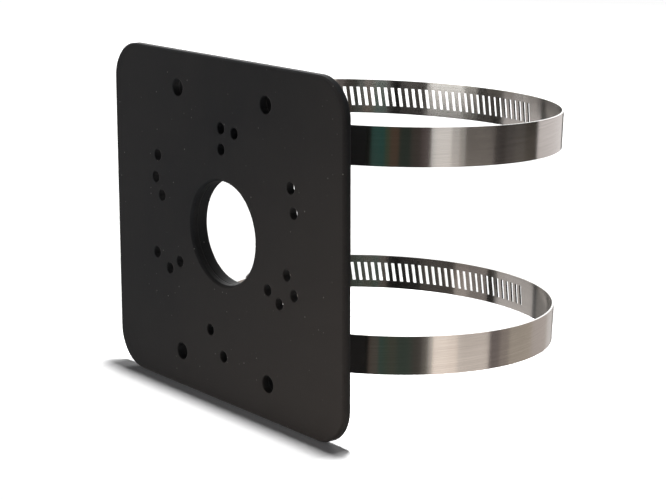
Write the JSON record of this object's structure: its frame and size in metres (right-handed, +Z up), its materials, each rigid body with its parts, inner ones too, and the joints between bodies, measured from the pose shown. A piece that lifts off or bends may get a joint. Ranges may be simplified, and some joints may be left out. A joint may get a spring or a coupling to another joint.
{
  "type": "camera pole mount bracket",
  "caption": "Flat drilled camera plate with a round cable hole on a folded bracket, held to a pole by perforated worm drive straps.",
  "frame": {"origin": "centre of the cable hole on the plate's front face, which is also the centre of the hole patterns", "axes": "-Y out of the plate's front towards the camera, the pole along Z behind the plate, +Z up"},
  "size_m": [0.1425, 0.1466, 0.127],
  "materials": {
    "black_powder_coat": "satin, fine texture",
    "stainless_steel": "brushed"
  },
  "bodies": {
    "mount": {"mounting_plate": "black_powder_coat", "rear_bracket": "black_powder_coat", "upper_strap": "stainless_steel", "upper_screw_housing": "stainless_steel", "upper_saddle": "stainless_steel", "lower_strap": "stainless_steel", "lower_screw_housing": "stainless_steel", "lower_saddle": "stainless_steel"},
    "upper_screw": {"upper_worm_screw": "stainless_steel"},
    "lower_screw": {"lower_worm_screw": "stainless_steel"}
  },
  "joints": [
    {"name": "upper_screw_turn", "type": "hinge", "parent": "mount", "child": "upper_screw", "pos_m": [-0.06434, 0.07564, 0.0333], "axis": [-0.3746, 0.9262, -0.0427], "continuous": true},
    {"name": "lower_screw_turn", "type": "hinge", "parent": "mount", "child": "lower_screw", "pos_m": [-0.06191, 0.06962, -0.04122], "axis": [-0.3746, 0.9262, -0.0427], "continuous": true}
  ]
}
